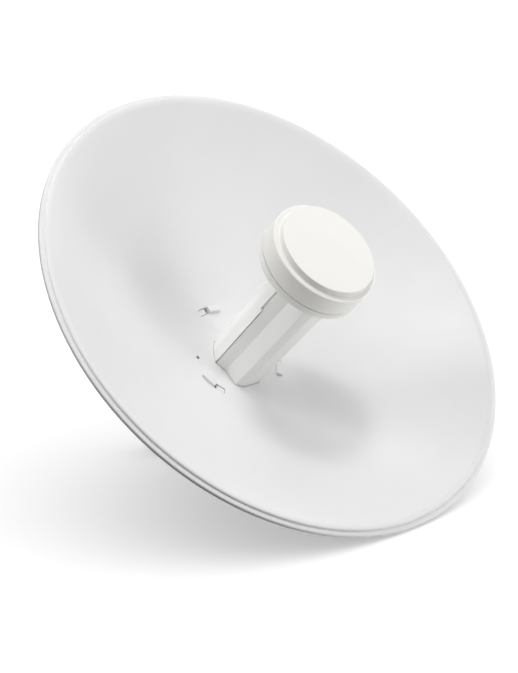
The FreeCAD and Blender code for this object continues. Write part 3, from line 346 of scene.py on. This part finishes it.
def powder_coat(name, colour):
    """White powder coat: orange peel, faint spinning rings and a little dust."""
    finish = Finish(name)
    clouds = finish.noise(9, 4)
    specks = finish.ramp(finish.noise(2600, 1), 0.68, 0.76)
    shade = finish.mix(finish.ramp(clouds, 0.35, 0.65), tinted(colour, 0.985), tinted(colour, 1.01))
    shade = finish.mix(finish.math("MULTIPLY", specks, 0.10), shade, tinted(colour, 0.7))
    rings = finish.rings(420, 3)
    peel = finish.noise(700, 1)
    relief = finish.bump(rings, 0.000012)
    relief = finish.bump(peel, 0.000022, relief)
    finish.set(Base_Color=shade, Roughness=finish.ramp(finish.noise(60, 3), 0.3, 0.7, 0.38, 0.50),
               Normal=relief, Specular_IOR_Level=0.45)
    return finish.material


def moulded(name, colour, rough, grain=1900, depth=0.000012):
    """Injection-moulded plastic with a fine spark-eroded grain and slightly scuffed edges."""
    finish = Finish(name)
    eased = finish.rounded(0.0004)
    clouds = finish.noise(16, 4)
    shade = finish.mix(finish.ramp(clouds, 0.35, 0.65), tinted(colour, 0.98), tinted(colour, 1.012))
    scuffs = finish.ramp(finish.noise(220, 3), 0.45, 0.6, 0, 0.16)
    worn = finish.math("MULTIPLY", finish.edge(eased), scuffs)
    shade = finish.mix(worn, shade, tinted(colour, 0.88))
    pits = finish.cells(grain, "Distance")
    relief = finish.bump(pits, depth, eased)
    relief = finish.bump(finish.noise(grain * 0.37, 2), depth * 1.4, relief)
    finish.set(Base_Color=shade, Normal=relief, Specular_IOR_Level=0.4,
               Roughness=finish.ramp(finish.noise(45, 3), 0.3, 0.7, rough - 0.06, rough + 0.07))
    return finish.material


def rubber(name, colour, cell):
    """Soft matt rubber or foam, a little dusty."""
    finish = Finish(name)
    dust = finish.ramp(finish.noise(140, 5), 0.5, 0.75, 0, 0.35)
    shade = finish.mix(dust, colour, tinted(colour, 2.4))
    relief = finish.bump(finish.cells(cell, "Distance"), 0.00004)
    relief = finish.bump(finish.noise(900, 3), 0.00002, relief)
    finish.set(Base_Color=shade, Normal=relief, Roughness=finish.ramp(dust, 0, 0.35, 0.62, 0.85),
               Specular_IOR_Level=0.3)
    return finish.material


def galvanised(name, colour):
    """Zinc-plated sheet: crystal spangle, brushing, dull patches and bright edges."""
    finish = Finish(name)
    eased = finish.rounded(0.0004)
    spangle = finish.node("ShaderNodeSeparateColor", {0: finish.cells(170)}).outputs[0]
    brushed = finish.noise(60, 3, at=finish.stretched((1, 1, 28)))
    dull = finish.ramp(finish.noise(38, 5), 0.52, 0.68)
    shade = finish.mix(spangle, tinted(colour, 0.90), tinted(colour, 1.06))
    shade = finish.mix(finish.math("MULTIPLY", dull, 0.45), shade, (0.60, 0.60, 0.59))
    shade = finish.mix(finish.math("MULTIPLY", finish.edge(eased), 0.5), shade, (0.86, 0.86, 0.87))
    rough = finish.ramp(brushed, 0.3, 0.7, 0.30, 0.46)
    rough = finish.math("ADD", rough, finish.math("MULTIPLY", dull, 0.16))
    relief = finish.bump(brushed, 0.000010, eased)
    relief = finish.bump(spangle, 0.000008, relief)
    metal = finish.ramp(dull, 0, 1, 1.0, 0.75)
    finish.set(Base_Color=shade, Metallic=metal, Roughness=rough, Normal=relief)
    return finish.material


def bright_steel(name, colour, rough, tint):
    """Plated fasteners: fine tool marks, yellowish film and rubbed edges."""
    finish = Finish(name)
    eased = finish.rounded(0.00025)
    film = finish.ramp(finish.noise(90, 4), 0.4, 0.65)
    marks = finish.noise(700, 3, at=finish.stretched((0.15, 1, 1)))
    shade = finish.mix(film, colour, tint)
    shade = finish.mix(finish.math("MULTIPLY", finish.edge(eased), 0.6), shade, (0.85, 0.85, 0.85))
    relief = finish.bump(marks, 0.000012, eased)
    finish.set(Base_Color=shade, Metallic=1.0, Normal=relief,
               Roughness=finish.ramp(marks, 0.3, 0.7, rough - 0.07, rough + 0.12))
    return finish.material


def spun_aluminium(name, colour):
    """Spun sheet: rings about the axis."""
    finish = Finish(name)
    rings = finish.rings(2600, 4)
    shade = finish.mix(rings, tinted(colour, 0.88), tinted(colour, 1.08))
    finish.set(Base_Color=shade, Metallic=1.0, Normal=finish.bump(rings, 0.00001),
               Roughness=finish.ramp(finish.noise(50, 3), 0.3, 0.7, 0.28, 0.42))
    return finish.material


def solder_mask(name, colour):
    """Circuit board: copper tracks and filled areas under a green mask, with vias."""
    finish = Finish(name)
    steps = finish.cells(210, "Distance", distance="MANHATTAN")
    tracks = finish.math("FRACT", finish.math("MULTIPLY", steps, 7))
    tracks = finish.ramp(tracks, 0.46, 0.54)
    pour = finish.ramp(finish.cells(46, "Distance", distance="CHEBYCHEV"), 0.42, 0.45)
    copper = finish.math("MAXIMUM", tracks, pour)
    vias = finish.ramp(finish.cells(330, "Distance"), 0.14, 0.10)
    shade = finish.mix(copper, colour, tinted(colour, 1.9))
    shade = finish.mix(vias, shade, (0.72, 0.66, 0.45))
    finish.set(Base_Color=shade, Normal=finish.bump(copper, 0.00003), Coat_Weight=0.3,
               Roughness=finish.ramp(finish.noise(300, 2), 0.3, 0.7, 0.26, 0.40),
               Metallic=finish.math("MULTIPLY", vias, 0.8))
    return finish.material


def tin(name, colour):
    """Bright tin with handling smudges."""
    finish = Finish(name)
    eased = finish.rounded(0.0002)
    smudge = finish.ramp(finish.noise(120, 5), 0.42, 0.66)
    shade = finish.mix(smudge, colour, tinted(colour, 0.82))
    relief = finish.bump(finish.noise(800, 2, at=finish.stretched((1, 0.1, 1))), 0.000006, eased)
    rough = finish.ramp(smudge, 0, 1, 0.20, 0.42)
    finish.set(Base_Color=shade, Metallic=1.0, Normal=relief, Roughness=rough)
    return finish.material


def epoxy(name, colour):
    """Moulded black package with a fine matt grain."""
    finish = Finish(name)
    shade = finish.mix(finish.noise(400, 3), tinted(colour, 0.8), tinted(colour, 1.4))
    finish.set(Base_Color=shade, Normal=finish.bump(finish.noise(3200, 2), 0.000008),
               Roughness=finish.ramp(finish.noise(900, 2), 0.3, 0.7, 0.48, 0.62))
    return finish.material


def gilded(name, colour):
    """Gold-plated contacts with faint wear."""
    finish = Finish(name)
    shade = finish.mix(finish.ramp(finish.noise(500, 3), 0.4, 0.6), colour, tinted(colour, 0.85))
    finish.set(Base_Color=shade, Metallic=1.0, Normal=finish.bump(finish.noise(1500, 2), 0.000004),
               Roughness=finish.ramp(finish.noise(240, 2), 0.3, 0.7, 0.18, 0.32))
    return finish.material


def glass(name, colour, rough, ior):
    """Clear or tinted body with faint flow lines."""
    finish = Finish(name)
    flow = finish.noise(180, 3, at=finish.stretched((0.2, 1, 1)))
    shade = finish.mix(flow, colour, tinted(colour, 0.92))
    finish.set(Base_Color=shade, Transmission_Weight=1.0, IOR=ior,
               Normal=finish.bump(flow, 0.000006),
               Roughness=finish.ramp(flow, 0.3, 0.7, rough, rough + 0.05))
    return finish.material


def floor_material():
    """Matt grey with a little glow, and clear when seen from below."""
    material = bpy.data.materials.new("floor")
    material.use_nodes = True
    tree = material.node_tree
    tree.nodes.clear()
    diffuse = tree.nodes.new("ShaderNodeBsdfDiffuse")
    diffuse.inputs["Color"].default_value = (FLOOR_GREY, FLOOR_GREY, FLOOR_GREY, 1)
    glow = tree.nodes.new("ShaderNodeEmission")
    glow.inputs["Strength"].default_value = FLOOR_GLOW
    both = tree.nodes.new("ShaderNodeAddShader")
    clear = tree.nodes.new("ShaderNodeBsdfTransparent")
    side = tree.nodes.new("ShaderNodeNewGeometry")
    mix = tree.nodes.new("ShaderNodeMixShader")
    out = tree.nodes.new("ShaderNodeOutputMaterial")
    tree.links.new(side.outputs["Backfacing"], mix.inputs[0])
    tree.links.new(diffuse.outputs[0], both.inputs[0])
    tree.links.new(glow.outputs[0], both.inputs[1])
    tree.links.new(both.outputs[0], mix.inputs[1])
    tree.links.new(clear.outputs[0], mix.inputs[2])
    tree.links.new(mix.outputs[0], out.inputs[0])
    return material


MATERIALS = {
    "dish_paint": powder_coat("dish_paint", (0.80, 0.80, 0.803)),
    "white_plastic": moulded("white_plastic", (0.80, 0.80, 0.80), 0.50),
    "feed_plastic": moulded("feed_plastic", (0.885, 0.885, 0.865), 0.46),
    "cap_plastic": moulded("cap_plastic", (0.89, 0.88, 0.845), 0.40, grain=2600, depth=0.000007),
    "dark_rubber": rubber("dark_rubber", (0.022, 0.022, 0.023), 1500),
    "foam": rubber("foam", (0.03, 0.03, 0.032), 2200),
    "zinc_steel": galvanised("zinc_steel", (0.62, 0.63, 0.65)),
    "bolt_steel": bright_steel("bolt_steel", (0.60, 0.61, 0.62), 0.30, (0.62, 0.59, 0.50)),
    "spring_steel": bright_steel("spring_steel", (0.45, 0.45, 0.46), 0.26, (0.40, 0.39, 0.37)),
    "aluminium": spun_aluminium("aluminium", (0.78, 0.79, 0.80)),
    "circuit_board": solder_mask("circuit_board", (0.012, 0.10, 0.045)),
    "tin_plate": tin("tin_plate", (0.72, 0.72, 0.71)),
    "chip_black": epoxy("chip_black", (0.022, 0.022, 0.025)),
    "gold": gilded("gold", (0.95, 0.70, 0.32)),
    "vial_glass": glass("vial_glass", (0.75, 0.93, 0.30), 0.02, 1.47),
    "clear_plastic": glass("clear_plastic", (0.93, 0.95, 0.96), 0.08, 1.49),
    "button_grey": moulded("button_grey", (0.30, 0.305, 0.31), 0.52),
}

for node in nodes.values():
    for held in node.material_slots:
        held.material = MATERIALS[held.name]


# Pieces added to the frame

def add_piece(name, body, slot, verts, faces):
    """A mesh piece that rides on a body and takes a slot's finish."""
    mesh = bpy.data.meshes.new(name)
    mesh.from_pydata(verts, [], faces)
    mesh.materials.append(MATERIALS[slot])
    edit = bmesh.new()
    edit.from_mesh(mesh)
    bmesh.ops.recalc_face_normals(edit, faces=edit.faces)
    edit.to_mesh(mesh)
    edit.free()
    piece = bpy.data.objects.new(name, mesh)
    scene.collection.objects.link(piece)
    piece.data.set_sharp_from_angle(angle=SHARP_ANGLE)
    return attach(piece, body)


def joined(shapes):
    """One (verts, faces) from several."""
    verts = []
    faces = []
    for more_verts, more_faces in shapes:
        start = len(verts)
        verts += more_verts
        faces += [tuple(start + i for i in face) for face in more_faces]
    return verts, faces


def around(axis):
    """Two directions square to an axis and to each other."""
    first = axis.orthogonal().normalized()
    return first, axis.cross(first)


def turned(profile, centre, axis, closed=False):
    """Surface of revolution through (distance along the axis, radius) points."""
    first, second = around(axis)
    verts = []
    for along, radius in profile:
        for step in range(ROUND_STEPS):
            angle = tau * step / ROUND_STEPS
            out = first * cos(angle) + second * sin(angle)
            verts.append(centre + axis * along + out * radius)
    faces = []
    rows = len(profile)
    for row in range(rows if closed else rows - 1):
        below = row * ROUND_STEPS
        above = (row + 1) % rows * ROUND_STEPS
        for step in range(ROUND_STEPS):
            beside = (step + 1) % ROUND_STEPS
            faces.append((below + step, below + beside, above + beside, above + step))
    if not closed:
        faces.append(tuple(range(ROUND_STEPS)))
        faces.append(tuple((rows - 1) * ROUND_STEPS + step for step in range(ROUND_STEPS)))
    return verts, faces


def threaded(start, end, radius, pitch):
    """Threaded rod between two points, its crests at the radius."""
    axis = (end - start).normalized()
    length = (end - start).length
    first, second = around(axis)
    root = radius - THREAD_DEPTH * pitch
    profile = (root, root, radius, radius)
    rows = int(length / pitch + 1) * len(profile) + 1
    verts = []
    for row in range(rows):
        for step in range(ROUND_STEPS):
            along = (row / len(profile) + step / ROUND_STEPS - 1) * pitch
            along = min(max(along, 0), length)
            angle = tau * step / ROUND_STEPS
            out = first * cos(angle) + second * sin(angle)
            verts.append(start + axis * along + out * profile[row % len(profile)])
    faces = []
    for row in range(rows - 1):
        for step in range(ROUND_STEPS - 1):
            at = row * ROUND_STEPS + step
            faces.append((at, at + 1, at + 1 + ROUND_STEPS, at + ROUND_STEPS))
    for row in range(rows - len(profile) - 1):
        at = row * ROUND_STEPS + ROUND_STEPS - 1
        over = (row + len(profile)) * ROUND_STEPS
        faces.append((at, over, over + ROUND_STEPS, at + ROUND_STEPS))
    lower = list(range(ROUND_STEPS)) + [row * ROUND_STEPS for row in range(len(profile), 0, -1)]
    last = (rows - 1) * ROUND_STEPS
    upper = [last + step for step in range(ROUND_STEPS)]
    upper += [last - row * ROUND_STEPS + ROUND_STEPS - 1 for row in range(1, len(profile) + 1)]
    return verts, faces + [tuple(lower), tuple(upper)]


def add_carriage_bolts():
    """The clamp's bolts with their threads cut, in place of the plain ones."""
    low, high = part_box("carriage_bolts")
    head_r = high.z
    flange_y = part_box("pole_bracket")[1].y - CLAMP_STEEL
    head_h = flange_y - low.y
    sphere_r = (head_r ** 2 + head_h ** 2) / (2 * head_h)
    dome = [(sphere_r - sqrt(sphere_r ** 2 - (head_r * share) ** 2), head_r * share)
            for share in DOME_SHARES]
    shapes = []
    for x in (low.x + head_r, high.x - head_r):
        top = Vector((x, low.y, 0))
        shapes.append(turned(dome, top, Vector((0, 1, 0))))
        shank = Vector((x, flange_y - head_h / 2, 0))
        shapes.append(threaded(shank, Vector((x, high.y, 0)), CLAMP_BOLT_R, THREAD_PITCH))
    bolts = add_piece("threaded_carriage_bolts", "pole_mount", "bolt_steel", *joined(shapes))
    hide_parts("carriage_bolts")


def add_tilt_scale():
    """Ticks beside each locking slot, over the tilt's range."""
    pivot = Vector(joints["tilt"]["pos_m"])
    lowest, highest = joints["tilt"]["range_deg"]
    face_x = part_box("pivot_bolts")[1].x - PIVOT_HEAD
    shapes = []
    for side in (-1, 1):
        for degrees in range(int(lowest), int(highest) + 1, TICK_STEP):
            reach = TICK_LONG if degrees in (lowest, 0, highest) else TICK_SHORT
            shapes.append(tick(pivot, side * face_x, side, radians(degrees), reach))
    add_piece("tilt_scale", "pole_mount", "chip_black", *joined(shapes))


def tick(pivot, face_x, side, angle, reach):
    """Raised line with sloping flanks, pointing at the pivot."""
    along = Vector((0, cos(angle), sin(angle)))
    across = Vector((0, -sin(angle), cos(angle)))
    verts = []
    for lift, shrink in ((-TICK_RISE, 0), (TICK_RISE, TICK_SLOPE)):
        for end, edge in ((0, -1), (1, -1), (1, 1), (0, 1)):
            far = TICK_START + shrink + end * (reach - 2 * shrink)
            spot = pivot + along * far + across * edge * (TICK_HALF - shrink)
            verts.append(Vector((face_x + side * lift, spot.y, spot.z)))
    faces = [(0, 1, 2, 3), (4, 5, 6, 7)]
    faces += [(i, (i + 1) % 4, (i + 1) % 4 + 4, i + 4) for i in range(4)]
    return verts, faces


def add_level_details():
    """The spirit level's bubble and its two ring marks."""
    low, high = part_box("level_vial")
    middle = (low + high) / 2
    radius = (high.z - low.z) / 2
    across = Vector((1, 0, 0))
    bubble = [(-BUBBLE_HALF * cos(angle), BUBBLE_R * sin(angle))
              for angle in (pi * (step + 0.5) / BUBBLE_STEPS for step in range(BUBBLE_STEPS))]
    lifted = middle + Vector((0, radius - BUBBLE_R - BUBBLE_DEPTH, 0))
    add_piece("level_bubble", "antenna", "clear_plastic", *turned(bubble, lifted, across))
    ring = [(-RING_HALF, radius - RING_RISE), (-RING_HALF / 2, radius + RING_RISE),
            (RING_HALF / 2, radius + RING_RISE), (RING_HALF, radius - RING_RISE)]
    rings = [turned(ring, middle + across * side * RING_AT, across, closed=True)
             for side in (-1, 1)]
    add_piece("level_rings", "antenna", "chip_black", *joined(rings))


def add_release_spring():
    """The release button's spring, as its own copy of the CAD mesh riding on the antenna, in place
    of the original.
    """
    wound = nodes["release_spring"].data.copy()
    spring = bpy.data.objects.new("wound_release_spring", wound)
    scene.collection.objects.link(spring)
    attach(spring, "antenna")
    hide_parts("release_spring")
    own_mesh(spring)


add_carriage_bolts()
add_tilt_scale()
add_level_details()
add_release_spring()

add_camera()
add_world()
add_lights(add_floor(floor_material()))
scene.view_settings.view_transform = "Standard"
